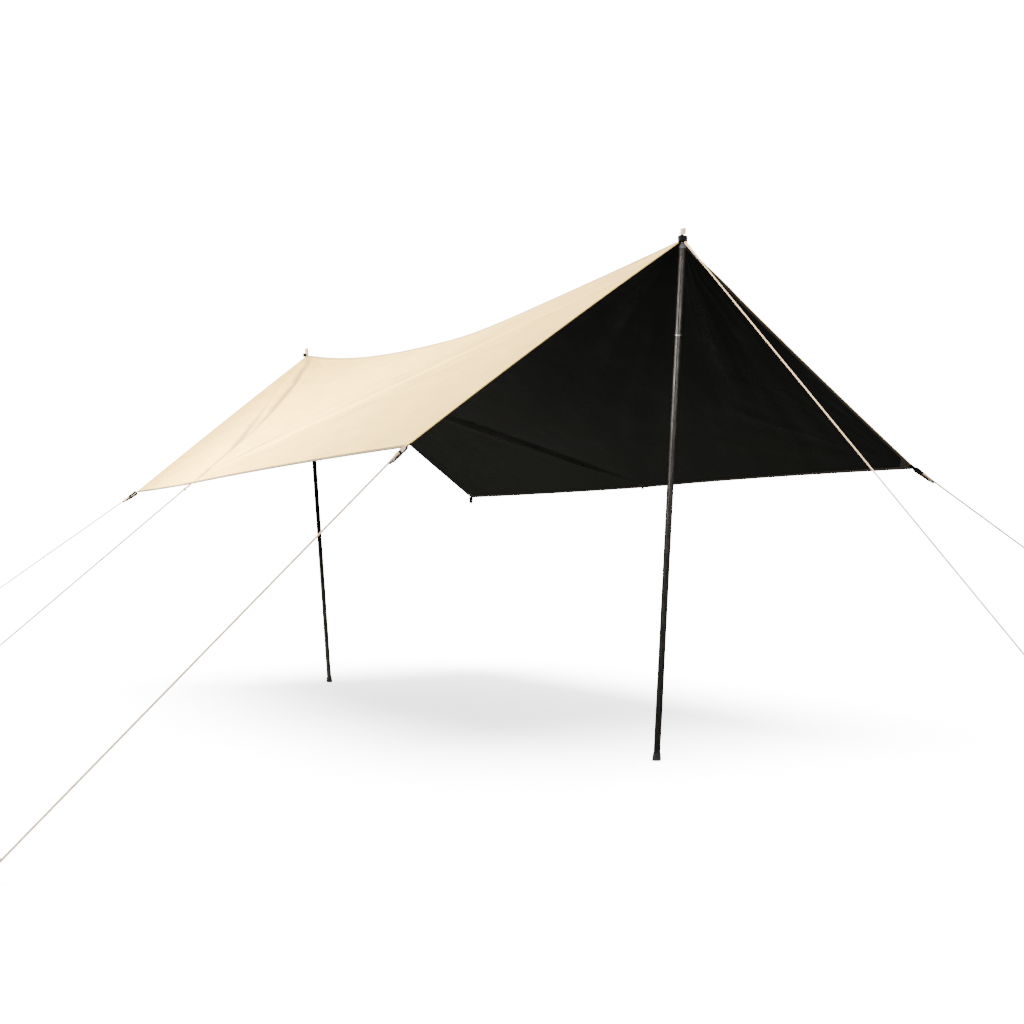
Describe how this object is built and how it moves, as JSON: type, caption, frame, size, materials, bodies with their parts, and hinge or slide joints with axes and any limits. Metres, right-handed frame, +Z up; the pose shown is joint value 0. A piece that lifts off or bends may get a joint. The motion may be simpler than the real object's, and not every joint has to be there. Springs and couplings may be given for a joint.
{
  "type": "camping tarp pitched on two poles",
  "caption": "Ridge-pitched camping tarp: cream cloth with a black underside on two black poles, held out by five guy lines, runners and pegs.",
  "frame": {"origin": "on the ground under the middle of the front pole's foot", "axes": "+Y along the ridge from the front pole to the rear pole, +Z up, +X to the right seen from the front"},
  "size_m": [6.2828, 8.3608, 2.4504],
  "materials": {
    "canopy_cloth": "cream woven cloth with a matt black coating on the underside",
    "webbing": "black woven strap",
    "guy_rope": "cream braided cord",
    "runner": "dark grey moulded runner",
    "peg_steel": "bare drawn steel wire",
    "pole_coat": "black speckled powder coat",
    "joint_ring": "thin bright ring at the tube joint",
    "tip_plastic": "black moulded plug with its spike",
    "foot_rubber": "matt black rubber cup"
  },
  "bodies": {
    "root": {"canopy_left": "canopy_cloth", "canopy_right": "canopy_cloth", "foot_front": "foot_rubber", "pole_lower_front": "pole_coat", "joint_ring_front": "joint_ring", "pole_upper_front": "pole_coat", "pole_tip_front": "tip_plastic", "peak_strap_front": "webbing", "foot_rear": "foot_rubber", "pole_lower_rear": "pole_coat", "joint_ring_rear": "joint_ring", "pole_upper_rear": "pole_coat", "pole_tip_rear": "tip_plastic", "peak_strap_rear": "webbing", "webbing_front_left": "webbing", "webbing_front_right": "webbing", "webbing_middle_left": "webbing", "webbing_middle_right": "webbing", "webbing_rear_left": "webbing", "webbing_rear_right": "webbing", "guy_line_front_left": "guy_rope", "runner_front_left": "runner", "peg_front_left": "peg_steel", "guy_line_front_right": "guy_rope", "runner_front_right": "runner", "peg_front_right": "peg_steel", "guy_line_middle_left": "guy_rope", "runner_middle_left": "runner", "peg_middle_left": "peg_steel", "guy_line_rear_left": "guy_rope", "runner_rear_left": "runner", "peg_rear_left": "peg_steel", "guy_line_front_peak": "guy_rope", "runner_front_peak": "runner", "peg_front_peak": "peg_steel"}
  },
  "joints": []
}
